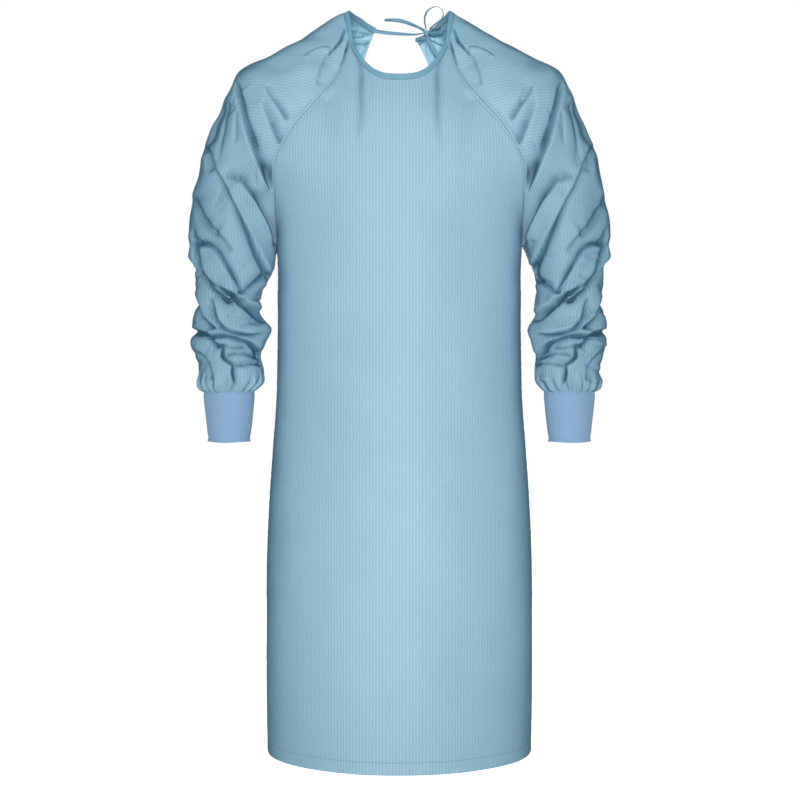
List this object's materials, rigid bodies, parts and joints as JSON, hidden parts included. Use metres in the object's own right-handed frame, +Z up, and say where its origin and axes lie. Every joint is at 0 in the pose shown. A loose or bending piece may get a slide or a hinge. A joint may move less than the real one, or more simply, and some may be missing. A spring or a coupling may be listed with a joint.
{
  "type": "protective gown",
  "caption": "Worn-form protective gown with raglan sleeves, knitted cuffs, a bound round neck and an open back tied at the neck.",
  "frame": {"origin": "middle of the neck opening, level with the highest points of the neckline beside the neck", "axes": "+Z up, +X towards the wearer's left, the front of the gown faces -Y"},
  "size_m": [0.6832, 0.3137, 1.2201],
  "materials": {
    "cloth": "light blue woven polyester with fine lengthwise stripes, slight sheen",
    "binding": "folded woven tape, slightly darker blue",
    "knit": "fine matt knit, mid blue"
  },
  "bodies": {
    "root": {"front_panel": "cloth", "back_panel_left": "cloth", "back_panel_right": "cloth", "sleeve_left": "cloth", "sleeve_right": "cloth", "cuff_left": "knit", "cuff_right": "knit", "neck_binding": "binding", "neck_tie_left": "binding", "neck_tie_right": "binding", "bow_loop_up": "binding", "bow_loop_side": "binding", "tie_end_left": "binding", "tie_end_low": "binding", "bow_knot": "binding"}
  },
  "joints": []
}
